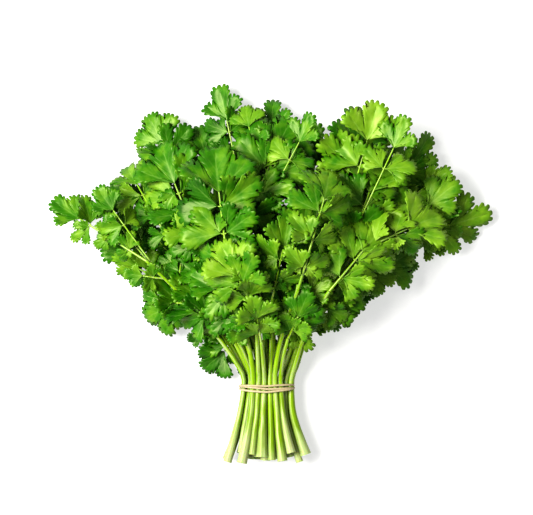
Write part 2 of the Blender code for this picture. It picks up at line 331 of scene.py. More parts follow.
def stem_material(name, greens, streak, roughness):
    """Wet stem tissue: greens from the cut to the leaves, with streaks of another colour."""
    material, output = new_material(name)
    place = add(material, "TexCoord")
    spot = place.outputs["Object"]
    split = add(material, "SeparateXYZ", {0: spot})
    tone = add(material, "Attribute", attribute_name="tone")
    reach = {0: split.outputs[1], 1: cad_box[0].y, 2: band_box[1].y + GREEN_BY}
    along = add(material, "MapRange", reach)
    patches = add(material, "TexNoise", {"Vector": spot, "Scale": 90.0, "Detail": 2.0})
    moved = add(material, "MapRange", {0: patches.outputs["Fac"], 3: -0.09, 4: 0.09})
    height = add(material, "Math", {0: along.outputs[0], 1: moved.outputs[0]}, operation="ADD")
    own = add(material, "MapRange", {0: tone.outputs["Fac"], 3: -0.1, 4: 0.1})
    height = add(material, "Math", {0: height.outputs[0], 1: own.outputs[0]}, operation="ADD")
    base = ramp_of(material, height.outputs[0], greens)
    # Streaks run along the stem: U goes from the cut to the tip and V goes round. The stem's tone
    # moves them, so that no two stems have the same ones.
    uv = add(material, "UVMap", uv_map="UVMap")
    way = add(material, "SeparateXYZ", {0: uv.outputs[0]})
    angle = add(material, "Math", {0: way.outputs[1], 1: math.tau}, operation="MULTIPLY")
    across = add(material, "Math", {0: angle.outputs[0]}, operation="COSINE")
    around = add(material, "Math", {0: angle.outputs[0]}, operation="SINE")
    own_streaks = add(material, "Math", {0: tone.outputs["Fac"], 1: 40.0}, operation="MULTIPLY")
    stretch = {0: way.outputs[0], 1: 5.0, 2: own_streaks.outputs[0]}
    length = add(material, "Math", stretch, operation="MULTIPLY_ADD")
    unrolled = {0: across.outputs[0], 1: around.outputs[0], 2: length.outputs[0]}
    stretched = add(material, "CombineXYZ", unrolled)
    lines = add(material, "TexNoise", {"Vector": stretched.outputs[0], "Scale": 1.3, "Detail": 2.0})
    thin = add(material, "MapRange", {0: lines.outputs["Fac"], 1: 0.46, 2: 0.62, 3: 0.0, 4: 0.85})
    blend = {0: thin.outputs[0], 6: base, 7: linear(streak)}
    colour = add(material, "Mix", blend, data_type="RGBA")
    relief = {"Height": lines.outputs["Fac"], "Strength": 0.3, "Distance": 0.2 * MM}
    bump = add(material, "Bump", relief)
    wet = {
        "Base Color": colour.outputs[2],
        "Roughness": roughness,
        "IOR": 1.45,
        "Specular Tint": (1.0, 1.0, 0.6, 1.0),
        "Subsurface Weight": 0.35,
        "Subsurface Radius": (0.5, 1.0, 0.1),
        "Subsurface Scale": 2 * MM,
        "Normal": bump.outputs[0],
    }
    skin = add(material, "BsdfPrincipled", wet)
    material.node_tree.links.new(skin.outputs[0], output.inputs[0])
    return material


SKIN_GREENS = ((0.0, "a4ac7c"), (1.0, "7ca612"), (0.2, "70900c"), (0.6, "90b414"))
PITH_GREENS = ((0.0, "b4ba92"), (1.0, "a3ad78"), (0.2, "adb588"), (0.6, "a3ad78"))
stem_skin = stem_material("coriander_stem_skin", SKIN_GREENS, "a4b27c", 0.38)
stem_pith = stem_material("coriander_stem_pith", PITH_GREENS, "98a468", 0.55)
print("stems:", stem_skin.name, "and", stem_pith.name)

# %% [markdown]
# ## Leaflets
#
# A coriander leaflet is a wedge at its stalk that widens into two or three lobes, and each lobe ends
# in small round teeth. Its veins show how to mesh it: a main vein runs up every lobe and side veins
# leave it for the teeth. So a flat grid is laid out with its bottom row along the main veins, up one
# side and down the other, and its top row along the toothed edge. The grid's V then tells how far a
# point is from the main vein, and U which tooth it belongs to. Each side of a lobe is one rounded
# curve from the cut beside it to its tip. A few leaflets are shaped once, and every leaf is made of
# their copies.

# %% One side of a lobe

TOOTH_PLACES = (0.0, 0.22, 0.5, 0.78)  # where a tooth has its notch, shoulder, crown and shoulder
TOOTH_RISES = (-0.36, 0.1, 0.2, 0.1)  # how far these stand out, as shares of a tooth's width
UNEVEN_PLACE = 0.05  # how far a tooth's points stray along the edge, as a share of its width
UNEVEN_RISE = (0.8, 1.25)  # and how unevenly they stand out
DEEPER_NOTCH = -0.95  # the notch that splits a lobe again
SPLIT_AT = 0.55  # and its place, as a share of the side's teeth
NOTCH_LIMIT = -0.32  # a notch takes at most this share of the way to the main vein
EDGE_STEPS = 400  # points of the smooth edge, along which the teeth are measured out
VEIN_REACH = 0.8  # share of a lobe's length at which its last side veins leave the main one
VEIN_CROWDING = 1.3  # how much closer together they leave it near the stalk


def heading(degrees):
    """A direction in the leaflet's plane, as a turn to the right of its line."""
    return np.array([math.sin(math.radians(degrees)), math.cos(math.radians(degrees))])


def lobe_side(lobe, cut, side, lean, rng):
    """Edge points from a cut to the lobe's tip, with teeth and without, and their vein's points.

    The side is -1 for left and 1 for right. The edge leaves the cut with a lean to the outside of
    the lobe's own line, in degrees.
    """
    axis, tip = heading(lobe["turn"]), heading(lobe["turn"]) * lobe["length"]
    outward = np.array([axis[1], -axis[0]]) * side
    start = cut + heading(lobe["turn"] + side * lean) * 0.5 * (lobe["length"] - np.linalg.norm(cut))
    end = tip + outward * lobe["breadth"]
    t = np.linspace(0, 1, EDGE_STEPS)[:, None]
    curve = (1 - t) ** 3 * cut + 3 * (1 - t) ** 2 * t * start + 3 * (1 - t) * t**2 * end + t**3 * tip
    walked = np.concatenate([[0.0], np.cumsum(np.linalg.norm(np.diff(curve, axis=0), axis=1))])
    teeth = lobe["teeth"]
    width = walked[-1] / (teeth - 0.5)
    stops, rises = [], []
    split = round(teeth * SPLIT_AT)
    for tooth in range(teeth):
        # The last tooth is the lobe's tip, and its crown is shared with the other side.
        points = 2 if tooth == teeth - 1 else 4
        for place, rise in zip(TOOTH_PLACES[:points], TOOTH_RISES):
            rise = DEEPER_NOTCH if tooth == split and place == 0 else rise
            stops.append((tooth + place + rng.uniform(-UNEVEN_PLACE, UNEVEN_PLACE)) * width)
            rises.append(rise * rng.uniform(*UNEVEN_RISE))
    stops.append(walked[-1])
    stops[0] = rises[0] = 0.0
    rises.append(TOOTH_RISES[2])
    spots = np.stack([np.interp(stops, walked, part) for part in curve.T], axis=1)
    along = np.stack([np.interp(stops, walked, np.gradient(part, walked)) for part in curve.T], axis=1)
    normal = np.stack([along[:, 1], -along[:, 0]], axis=1) * side
    shares = np.linspace(0, 1, len(spots))
    roots = (shares**VEIN_CROWDING * VEIN_REACH * lobe["length"])[:, None] * axis
    room = NOTCH_LIMIT * np.linalg.norm(spots - roots, axis=1)
    # The teeth start small in the cut and have their full size a quarter of the way up.
    rises = np.array(rises) * width * np.clip(shares * 4, 0, 1)
    edge = spots + normal * np.maximum(rises, room)[:, None]
    return np.stack([edge, spots, roots])


# %% The whole edge of a leaflet

OUTER_LEAN = 36  # degrees by which the outermost edges turn out, which rounds the leaflet's flanks
UNEVEN_CUT = (0.92, 1.08)  # how unevenly the cuts between the lobes go in


def leaflet_outline(shape, rng):
    """The whole edge from left to right with its teeth and without, and the main veins' points."""
    lobes = shape["lobes"]
    cuts = [heading(lobes[0]["turn"] - shape["wedge"]) * shape["shoulder"]]
    for left, right in zip(lobes, lobes[1:]):
        between = heading((left["turn"] + right["turn"]) / 2)
        cuts.append(between * shape["sinus"] * rng.uniform(*UNEVEN_CUT))
    cuts.append(heading(lobes[-1]["turn"] + shape["wedge"]) * shape["shoulder"])
    stretches = []
    for lobe, before, after in zip(lobes, cuts, cuts[1:]):
        left = OUTER_LEAN if lobe is lobes[0] else shape["lean"]
        right = OUTER_LEAN if lobe is lobes[-1] else shape["lean"]
        stretches.append(lobe_side(lobe, before, -1, left, rng))
        stretches.append(lobe_side(lobe, after, 1, right, rng)[:, -2:0:-1])
    stretches.append(np.stack([cuts[-1], cuts[-1], np.zeros(2)])[:, None])
    return np.concatenate(stretches, axis=1)


# %% A shaped leaflet

ROWS = (0.0, 0.33, 0.66, 1.0)  # shares of the way from the main vein to the edge
BLADE_THICKNESS = 0.011  # share of the leaflet's length: 0.3 mm on a 27 mm leaflet


def relief_of(x, y, share, relief, rng):
    """Height of the blade: puffed beside its veins, waved at its edge, folded and drooping."""
    turn = np.arctan2(x, y)
    reach = np.hypot(x, y)
    phase = [rng.uniform(0, math.tau) for _ in range(3)]
    z = relief["puff"] * np.sin(share * math.pi) * np.clip(reach * 1.4, 0, 1)
    z += relief["wave"] * reach**2 * np.sin(phase[0] + turn * relief["waves"])
    # Finer waves at the edge, about three to each wide one, and a shallow unevenness all over.
    z += relief["wave"] * 0.4 * reach**3 * share * np.sin(phase[1] + turn * relief["waves"] * 3.1)
    z += 0.01 * np.sin(phase[2] + 21 * x) * np.sin(phase[0] + 17 * y) * reach
    # The fold is rounded along the middle, where it stays at about zero.
    z += relief["fold"] * (np.sqrt(x**2 + 0.003) - 0.055)
    z -= relief["droop"] * y**2
    z -= relief["cup"] * x**2
    return z


def shape_leaflet(name, shape, relief, seed):
    """A leaflet of length 1 that grows from the origin along +Y and faces +Z."""
    rng = random.Random(seed)
    edge, smooth, roots = leaflet_outline(shape, rng)
    columns, rows = len(edge) - 1, len(ROWS) - 1
    bpy.ops.object.select_all(action="DESELECT")
    bpy.ops.mesh.primitive_grid_add(x_subdivisions=columns, y_subdivisions=rows, calc_uvs=True)
    leaflet = bpy.context.object
    leaflet.name = name
    mesh = leaflet.data
    across, up = (places(mesh)[:, :2].T + 1) / 2
    column, row = np.rint(across * columns).astype(int), np.rint(up * rows).astype(int)
    share = np.array(ROWS)[row]
    outer = np.where((row == rows)[:, None], edge[column], smooth[column])
    x, y = (roots[column] + (outer - roots[column]) * share[:, None]).T
    whole = np.linalg.norm(smooth - roots, axis=1)[column]
    share *= np.linalg.norm(outer - roots[column], axis=1) / np.maximum(whole, 1e-6)
    z = relief_of(x, y, np.clip(share, 0, 1.1), relief, rng)
    mesh.vertices.foreach_set("co", np.stack([x, y, z], axis=1).astype(np.float32).ravel())
    mesh.materials.append(blade_upper)
    mesh.materials.append(blade_under)
    bpy.ops.object.mode_set(mode="EDIT")
    bpy.ops.mesh.select_all(action="SELECT")
    bpy.ops.mesh.remove_doubles(threshold=1e-5)
    bpy.ops.object.mode_set(mode="OBJECT")
    blade = leaflet.modifiers.new("blade", "SOLIDIFY")
    blade.thickness = BLADE_THICKNESS
    blade.offset = -1.0
    blade.material_offset = 1
    bpy.ops.object.modifier_apply(modifier="blade")
    bpy.ops.object.shade_smooth()
    mesh.attributes.new("tone", "FLOAT", "POINT")
    leaflet.hide_render = True
    return leaflet


# %% Six plans, each with three reliefs


def plan_of(lobes, sinus, lean=20, wedge=-6, shoulder=0.26):
    """A leaflet's plan: its lobes, how far out the cuts between them end, the edges' lean there, and
    the turn and length of its wedge at the stalk. A lobe has its turn to the right in degrees, its
    length, its breadth at the tip and its teeth on each side.
    """
    keys = ("turn", "length", "breadth", "teeth")
    lobes = [dict(zip(keys, lobe)) for lobe in lobes]
    return {"lobes": lobes, "sinus": sinus, "lean": lean, "wedge": wedge, "shoulder": shoulder}


SHAPES = {
    "round": plan_of(((-42, 0.76, 0.38, 5), (0, 1.0, 0.46, 6), (42, 0.74, 0.38, 5)), 0.4),
    "deep": plan_of(((-47, 0.82, 0.36, 5), (-3, 1.0, 0.4, 6), (44, 0.76, 0.36, 5)), 0.33, 16),
    "wide": plan_of(((-48, 0.84, 0.44, 6), (0, 0.92, 0.46, 6), (46, 0.84, 0.44, 6)), 0.44),
    "lopsided": plan_of(((-44, 0.86, 0.4, 5), (6, 1.0, 0.42, 6), (48, 0.62, 0.28, 3)), 0.36),
    "twin": plan_of(((-28, 0.98, 0.46, 6), (26, 0.88, 0.44, 6)), 0.44, 18, 4),
    "small": plan_of(((-42, 0.74, 0.36, 3), (0, 1.0, 0.42, 4), (42, 0.72, 0.36, 3)), 0.38),
}
# Shares of the leaflet's length, apart from the number of waves round it.
RELIEFS = (
    {"puff": 0.03, "wave": 0.1, "waves": 2.2, "fold": 0.05, "droop": 0.2, "cup": 0.3},
    {"puff": 0.03, "wave": 0.13, "waves": 3.1, "fold": 0.15, "droop": 0.04, "cup": -0.25},
    {"puff": 0.03, "wave": 0.1, "waves": 2.6, "fold": 0.4, "droop": 0.26, "cup": 0.0},
)
masters = {}
for number, (kind, shape) in enumerate(SHAPES.items()):
    for variant, relief in enumerate(RELIEFS):
        name = f"leaflet_{kind}_{variant}"
        masters[kind, variant] = shape_leaflet(name, shape, relief, 10 * number + variant)
print("leaflets shaped:", len(masters))
print("faces of a round one:", len(masters["round", 0].data.polygons))

# %% [markdown]
# ## Compound leaves
#
# On the plant a leaf is a stalk with side leaflets in pairs and one leaflet at its end. Each leaf
# here takes its plan from its plain sheet, and its leaflets lie the way that sheet lies: rays are
# dropped on the sheet to find how high each leaflet starts, how steeply it runs and how far it
# leans over. A real sprig also bears smaller leaves on side branches, lower down and in the shade,
# and these close the gaps. The copies are then joined into one piece for each sprig.

# %% How a leaflet lies on the plain leaf

NEAR_PROBE, FAR_PROBE = 0.08, 0.8  # where rays are dropped along a leaflet, as shares of its size
MIDDLE_PROBE, SIDE_PROBE = 0.5, 0.25  # and where they are dropped on both sides of its line
RAY_START = 1.0  # m over the table, well above every leaf


def surface_of(node):
    """A function that gives the height of a solid's upper side at a point in plan, or None."""
    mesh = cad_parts[node].data
    mesh.calc_loop_triangles()
    faces = [tuple(t.vertices) for t in mesh.loop_triangles]
    tree = BVHTree.FromPolygons([v.co for v in mesh.vertices], faces)

    def height(point):
        hit = tree.ray_cast(Vector((point[0], point[1], RAY_START)), Vector((0, 0, -1)))[0]
        return None if hit is None else hit.z

    return height


def turned(direction, degrees):
    """A direction in plan, turned to the left."""
    c, s = math.cos(math.radians(degrees)), math.sin(math.radians(degrees))
    return Vector((direction.x * c - direction.y * s, direction.x * s + direction.y * c))


def lie(height, base, ahead, size, fallback):
    """Start, direction and side of a leaflet that lies on the plain leaf, or starts at a fallback."""
    across = turned(ahead, -90)
    start = height(base + ahead * size * NEAR_PROBE)
    start = fallback if start is None else start
    far = height(base + ahead * size * FAR_PROBE)
    far = start if far is None else far
    left = height(base + ahead * size * MIDDLE_PROBE - across * size * SIDE_PROBE)
    right = height(base + ahead * size * MIDDLE_PROBE + across * size * SIDE_PROBE)
    lean = 0.0 if left is None or right is None else (right - left) / (2 * SIDE_PROBE * size)
    run = Vector((ahead.x, ahead.y, (far - start) / ((FAR_PROBE - NEAR_PROBE) * size)))
    side = Vector((across.x, across.y, lean))
    return Vector((base.x, base.y, start)), run, side


# %% Living lines

STEM_FULLNESS = 1.15  # the stems are squeezed together under the band
STOUTNESS = (0.65, 0.8, 0.95, 1.1, 1.25, 1.4)  # thickness at the cut, against the plain stem
SWAYS = (0.9, 1.3, 1.2)  # mm that a line may stray: under the band, at the cut, above the band
RIGHT_FULLNESS = 4.5 * MM  # the right-hand stems bow out above the band
BOW_END = 1 / 2.2  # and are straight again at this share of their way to the leaf
LONGER_CUT = 2.2 * MM  # stems are cut up to this much longer than the plain ones
LEAST_GAP = 0.3 * MM  # between a cut end and the table
stem_rng = random.Random(3)


def living_line(middles, radii):
    """A stem's line as it grew: a slight sway, its own thickness at the cut, and its own length."""
    tie = band_box[0].y
    foot, tip = middles[0], middles[-1]
    sway_below, splay, sway_above = (stem_rng.uniform(-a, a) * MM for a in SWAYS)
    bow = RIGHT_FULLNESS * min(max((tip.x - band_box[1].x) / (cad_box[1].x / 2), 0.0), 1.0)
    stout = stem_rng.choice(STOUTNESS)
    points, sizes = [], []
    for middle, radius in zip(middles, radii):
        point = middle.copy()
        if middle.y < tie:
            share = (tie - middle.y) / (tie - foot.y)
            point.x += sway_below * math.sin(share * math.pi) + splay * share**2
            radius *= 1 + (stout - 1) * share
        else:
            share = (middle.y - tie) / max(tip.y - tie, MM)
            point.x += sway_above * math.sin(share * math.pi)
            point.x += bow * math.sin(min(1.0, share / BOW_END) * math.pi)
        points.append(point)
        sizes.append(radius * STEM_FULLNESS)
    points[0] += (points[0] - points[1]).normalized() * stem_rng.uniform(0.0, LONGER_CUT)
    points[0].z = max(points[0].z, sizes[0] + LEAST_GAP)
    return points, sizes


living = [living_line(middles, radii) for middles, radii in stems]
print("thickness at the cut, mm:", [round(2 * sizes[0] / MM, 1) for _, sizes in living])

# %% Laying out the leaf at the end of every stem

rng = random.Random(5)  # every chance from here on is drawn from it, in order
PAIR_SIZES = (0.92, 0.8, 0.66)  # side leaflets against the end leaflet, from the tip down
SPLAY = 62  # degrees between the leaf's line and its side leaflets
SIDE_SIZE = 1.06  # real blades overlap a little more than the plain ones
END_SIZE = 1.15
FIRST_PAIR = 0.55  # steps from the end leaflet down to the first pair
SPARE_STEPS = 0.35  # a rachis is one step long for each pair, and this much more
LOW_SIDE = 0.78  # leaflets that point back towards the cut ends stay this much smaller
BACKWARD = -0.3  # they count as pointing back when their direction's Y is less than this
PETIOLULE = 0.07  # share of a side leaflet taken by its stalk
STALK_RADIUS = 0.45 * MM
EXTRA_CHANCE = 0.5  # about every second side leaflet has a small one beside it
EXTRA_SIZE, EXTRA_START = 0.5, 0.12  # its size and where it starts, as shares of the side leaflet


def leaflet(spot, size, kinds):
    """One leaflet to be grown: where and how it lies, its size, and the shapes it may have."""
    return {"start": spot[0], "run": spot[1], "side": spot[2], "size": size, "kinds": kinds}


def end_leaf(number):
    """Leaflets and stalks of the leaf at a stem's end, and the line of its rachis."""
    leaf = leaves[number]
    height = surface_of(f"leaf_{number + 1:02d}")
    root, ahead, rachis, size = leaf["root"], leaf["ahead"], leaf["rachis"], leaf["size"]
    step = rachis / (leaf["pairs"] + SPARE_STEPS)
    line, leaflets, stalks = [root], [], []
    for k in range(leaf["pairs"])[::-1]:
        point = root.xy + ahead * (rachis - step * (FIRST_PAIR + k))
        z = height(point)
        z = line[-1].z if z is None else z
        line.append(Vector((point.x, point.y, z)))
        for side in (1, -1):
            own = size * PAIR_SIZES[k] * rng.uniform(0.92, 1.08)
            out = turned(ahead, side * (SPLAY + rng.uniform(-12, 8)))
            own *= LOW_SIDE if out.y < BACKWARD else 1.0
            spot = lie(height, point + out * own * PETIOLULE, out, own, z)
            leaflets.append(leaflet(spot, own * SIDE_SIZE, ("round", "deep", "lopsided", "twin")))
            stalks.append(([line[-1], spot[0]], [STALK_RADIUS, STALK_RADIUS]))
            if rng.random() < EXTRA_CHANCE:
                low = turned(out, rng.choice((-1, 1)) * rng.uniform(60, 80))
                spot = lie(height, point + out * own * EXTRA_START, low, own * EXTRA_SIZE, z)
                leaflets.append(leaflet(spot, own * EXTRA_SIZE, ("small",)))
    spot = lie(height, root.xy + ahead * rachis, ahead, size, line[-1].z)
    size *= END_SIZE * rng.uniform(0.95, 1.08)
    leaflets.append(leaflet(spot, size, ("round", "wide", "deep")))
    line.append(spot[0])
    return leaflets, stalks, line


# %% Where the side branches are

# Where a branch leaves the stem as a share of its length above the band, its turn to the left in
# degrees, its length in mm, its slope, and the size of its leaflets against the end leaf's. Every
# second sprig has them mirrored.
BRANCHES = (
    (0.64, 40, 22, -0.45, 0.66),
    (0.74, -38, 24, -0.3, 0.72),
    (0.85, 38, 22, -0.15, 0.75),
    (0.95, -10, 40, -0.5, 0.8),
)
# Longer branches that fill the rim and the shade: the sprig, where they leave its stem, their end
# in mm from the middle of the band, their slope and their size.
LONG_BRANCHES = (
    (1, 0.75, (-40, 30), -0.1, 0.6),
    (2, 0.85, (-84, 111), 0.0, 1.0),
    (3, 0.8, (-4, 132), -0.3, 1.0),
    (3, 0.04, (-9, 23), -0.3, 0.8),
    (4, 0.7, (6, 112), -0.3, 1.0),
    (4, 0.04, (12, 23), -0.3, 0.8),
    (4, 0.85, (30, 138), -0.3, 1.0),
    (11, 0.9, (-11, 162), 0.0, 0.9),
    (12, 0.85, (98, 124), 0.0, 1.0),
    (13, 0.85, (100, 113), 0.1, 1.0),
    (16, 0.9, (-95, 110), 0.0, 1.15),
    (18, 0.9, (20, 152), 0.0, 0.7),
    (19, 0.6, (50, 132), -0.4, 1.0),
    (19, 0.9, (62, 153), 0.1, 0.9),
    (20, 0.9, (78, 148), 0.1, 0.8),
    (23, 0.8, (25, 38), -0.2, 0.75),
)
NECK = 27 * MM  # above the band the stems are bare over this length
OUTER_SHARE = 0.55  # branches that lean out of the bunch stay this much shorter
LOWEST_BRANCH = 4 * MM


def branch_start(number, share):
    """A place on the stem as a share of its length above the band, its direction and its radius."""
    middles, radii = living[number]
    free = [k for k, middle in enumerate(middles) if middle.y > band_box[1].y]
    at = free[0] + share * (len(middles) - 1 - free[0])
    k = int(at)
    here, there = middles[k], middles[k + 1]
    return here.lerp(there, at - k), (there - here).xy.normalized(), radii[k]


def branches_of(number):
    """Where and how a sprig's side branches grow, and the size of their leaflets."""
    mirror = 1 if number % 2 else -1
    branches = []
    for share, turn, reach, slope, scale in BRANCHES:
        turn = mirror * turn + rng.uniform(-12, 12)
        start, ahead, radius = branch_start(number, share)
        if start.y < band_box[1].y + NECK:
            continue
        reach *= rng.uniform(0.8, 1.2)
        slope += rng.uniform(-0.15, 0.15)
        out = turned(ahead, turn)
        length = reach * MM * (OUTER_SHARE if out.y < ahead.y else 1.0)
        branches.append((start, radius, out, length, slope, scale))
    for sprig, share, target, slope, scale in LONG_BRANCHES:
        if sprig == number + 1:
            start, _, radius = branch_start(number, share)
            out = ((band_box[0] + band_box[1]) / 2 + Vector((*target, 0)) * MM - start).xy
            branches.append((start, radius, out.normalized(), out.length, slope, scale))
    keys = ("start", "radius", "out", "length", "slope", "scale")
    return [dict(zip(keys, branch)) for branch in branches]


# %% Leaves on the side branches

BRANCH_RADIUS = 0.6  # where it leaves the stem, against the stem's own
BRANCH_ARCH = 1.5 * MM  # how far a branch bends up in the middle
PAIR_BACK = 0.65  # side leaflets start this many leaflet sizes before the end leaflet
LARGE = 0.85  # side leaves of this size or more have as many teeth as the end leaf


def flat_spot(base, way, slope):
    """Start, direction and side of a leaflet that isn't held by the plain leaf and stays level."""
    across = turned(way, -90)
    return base, Vector((way.x, way.y, slope)), Vector((across.x, across.y, 0.0))


def side_leaf(number, branch):
    """Leaflets and stalks of a leaf with three leaflets on a side branch."""
    start, out, length = branch["start"], branch["out"], branch["length"]
    size = leaves[number]["size"] * branch["scale"] * rng.uniform(0.9, 1.1)
    tip = start + Vector((out.x, out.y, branch["slope"])) * length
    tip.z = max(tip.z, LOWEST_BRANCH)
    slope = (tip.z - start.z) / length
    middle = (start + tip) / 2 + Vector((0, 0, BRANCH_ARCH))
    thick = branch["radius"] * BRANCH_RADIUS
    stalks = [([start, middle, tip], [thick, (thick + STALK_RADIUS) / 2, STALK_RADIUS])]
    first, second = ("wide", "lopsided") if branch["scale"] >= LARGE else ("small", "small")
    leaflets = [leaflet(flat_spot(tip, out, slope * 0.5), size, (first, "round", "deep"))]
    node = middle.lerp(tip, max(0.0, 1 - 2 * PAIR_BACK * size / length))
    for side in (1, -1):
        way = turned(out, side * rng.uniform(55, 75))
        own = size * rng.uniform(0.75, 0.95)
        base = node + Vector((way.x, way.y, 0)) * own * PETIOLULE
        leaflets.append(leaflet(flat_spot(base, way, slope * 0.3), own, (second, "round")))
        stalks.append(([node, base], [STALK_RADIUS, STALK_RADIUS]))
    return leaflets, stalks


def lay_out(number):
    """All leaflets and stalks of one sprig, and the line of its rachis."""
    leaflets, stalks, line = end_leaf(number)
    for branch in branches_of(number):
        more_leaflets, more_stalks = side_leaf(number, branch)
        leaflets += more_leaflets
        stalks += more_stalks
    return {"leaflets": leaflets, "stalks": stalks, "rachis": line}


plans = [lay_out(i) for i in range(SPRIGS)]
print("leaflets in all:", sum(len(plan["leaflets"]) for plan in plans))

# %% Copying the leaflets and joining each leaf

LOWEST = 0.7 * MM  # no leaflet comes closer to the table


def copy_leaflet(master, matrix, tone, twist):
    """A copy of a master leaflet in its place, with its own mesh, tone and slight twist."""
    made = master.copy()
    made.data = master.data.copy()
    made.hide_render = False
    bpy.context.scene.collection.objects.link(made)
    mesh = made.data
    spot = places(mesh)
    spot[:, 2] += twist * spot[:, 0] * spot[:, 1]
    mesh.vertices.foreach_set("co", spot.ravel())
    mesh.transform(matrix)
    lowest = min(vertex.co.z for vertex in mesh.vertices)
    if lowest < LOWEST:
        mesh.transform(Matrix.Translation((0, 0, LOWEST - lowest)))
    mesh.attributes["tone"].data.foreach_set("value", np.full(len(mesh.vertices), tone, np.float32))
    return made


def join(parts, name):
    """Joins parts into one piece."""
    bpy.ops.object.select_all(action="DESELECT")
    for part in parts:
        part.select_set(True)
    bpy.context.view_layer.objects.active = parts[0]
    bpy.ops.object.join()
    parts[0].name = name
    return parts[0]


# %% Growing every leaf

# Most of a leaflet's tone is painted shade and painted light. It is deep green low in the fan's
# middle, where little light comes, and paler high up, at the rim and on the right, where the leaves
# face away from the window. Only the spread and the few paler, ageing leaflets are the blades' own
# colour.
FAN_MIDDLE = Vector((0, 28 * MM))
SHADED_TONE = 0.16  # low in the middle of the fan, where little light comes
LIT_HIGH_TONE, LIT_RIM_TONE, LIT_RIGHT_TONE = 0.25, 0.25, 0.15  # what is added high up, at the rim, on the right
TONE_SPREAD = 0.07
PALE_CHANCE, PALE_STEP = 0.05, 0.12  # a few leaflets are ageing and paler
TILT_ALONG, TILT_ACROSS, TWIST = 0.2, 0.26, 0.14  # how unevenly the leaflets lie, as slopes


def lit_and_shaded_tone(place):
    """Deep green painted shade low in the fan's middle, paler painted light high up, outside and
    right.
    """
    outward = (place.xy - FAN_MIDDLE).length / cad_box[1].x
    rightward = max(place.x / cad_box[1].x, 0.0)
    tone = SHADED_TONE + LIT_HIGH_TONE * place.z / cad_box[1].z + LIT_RIM_TONE * outward**1.5
    tone += LIT_RIGHT_TONE * rightward + rng.gauss(0, TONE_SPREAD)
    if rng.random() < PALE_CHANCE:
        tone += PALE_STEP
    return min(max(tone, 0.05), 0.95)


def grow_leaf(number):
    """The blades of one sprig as one piece."""
    parts = []
    for grown in plans[number]["leaflets"]:
        master = masters[rng.choice(grown["kinds"]), rng.randrange(len(RELIEFS))]
        run = (grown["run"] + Vector((0, 0, rng.gauss(0.0, TILT_ALONG)))).normalized()
        side = grown["side"] + Vector((0, 0, rng.gauss(0.0, TILT_ACROSS)))
        up = side.cross(run).normalized()
        axes = Matrix((run.cross(up).normalized(), run, up)).transposed().to_4x4()
        matrix = Matrix.Translation(grown["start"]) @ axes @ Matrix.Scale(grown["size"], 4)
        parts.append(copy_leaflet(master, matrix, lit_and_shaded_tone(grown["start"]), rng.gauss(0, TWIST)))
    return join(parts, f"blades_{number + 1:02d}")


for i in range(SPRIGS):
    blades = grow_leaf(i)
    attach(blades, "root")
    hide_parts(f"leaf_{i + 1:02d}")
print("leaves grown:", SPRIGS)

# %% [markdown]
# ## Stems
#
# A stem is a long tapering rod with fine ribs. A curve with a ribbed profile as its bevel object
# gives that directly: each point has its own radius, and side stalks are more splines of the same
# curve. Turned into a mesh, its end face is inset and pushed in a little for the cut.

# %% A curve that carries a profile


def add_line(curve, points, radii, closed=False):
    """Adds a line through the points, with the profile's size at each."""
    spline = curve.splines.new("POLY")
    spline.points.add(len(points) - 1)
    for point, place, radius in zip(spline.points, points, radii):
        point.co = (*place, 1.0)
        point.radius = radius
    spline.use_cyclic_u = closed


def profile_of(name, points):
    """A closed flat outline for other curves to carry along their lines."""
    curve = bpy.data.curves.new(name, "CURVE")
    curve.dimensions = "2D"
    add_line(curve, [(x, y, 0.0) for x, y in points], [1.0] * len(points), closed=True)
    profile = bpy.data.objects.new(name, curve)
    bpy.context.scene.collection.objects.link(profile)
    profile.hide_render = True
    return profile


def carrier(name, profile):
    """A curve that will carry a profile along its lines, still without lines."""
    curve = bpy.data.curves.new(name, "CURVE")
    curve.dimensions = "3D"
    curve.bevel_mode = "OBJECT"
    curve.bevel_object = profile
    return curve


def to_mesh(curve, name):
    """The carried profile as a mesh object."""
    made = bpy.data.objects.new(name, curve)
    bpy.context.scene.collection.objects.link(made)
    bpy.ops.object.select_all(action="DESELECT")
    made.select_set(True)
    bpy.context.view_layer.objects.active = made
    bpy.ops.object.convert(target="MESH")
    return bpy.context.object


# %% The ribbed profile

RIBS = 9
RIB_DEPTH = 0.09
PROFILE_POINTS = 27
ribbed = []
for k in range(PROFILE_POINTS):
    a = -math.tau * k / PROFILE_POINTS
    r = 1 - RIB_DEPTH * (0.5 + 0.5 * math.cos(a * RIBS))
    ribbed.append((r * math.cos(a), r * math.sin(a)))
rib_profile = profile_of("stem_ribs", ribbed)
print("ribs round a stem:", RIBS)

# %% A smooth line through measured points


def smooth_line(points, radii, spacing):
    """Points about a spacing apart on a Catmull-Rom curve through the given ones, and their radii."""
    line, sizes = [], []
    for i in range(len(points) - 1):
        before, here = points[max(i - 1, 0)], points[i]
        there, after = points[i + 1], points[min(i + 2, len(points) - 1)]
        count = max(1, round((there - here).length / spacing))
        for k in range(count):
            t = k / count
            square = (2 * before - 5 * here + 4 * there - after) * t**2
            cube = (3 * here - before - 3 * there + after) * t**3
            line.append(0.5 * (2 * here + (there - before) * t + square + cube))
            sizes.append(radii[i] + (radii[i + 1] - radii[i]) * t)
    return [*line, points[-1]], [*sizes, radii[-1]]


# %% Growing every stem

STEM_SPACING = 4 * MM
STALK_SPACING = 2.5 * MM
RACHIS_RADIUS = 0.92  # at its start, against the stem's end
RACHIS_END_RADIUS = 0.5 * MM
RACHIS_DROP = 0.6  # how much of its radius it runs below the blades


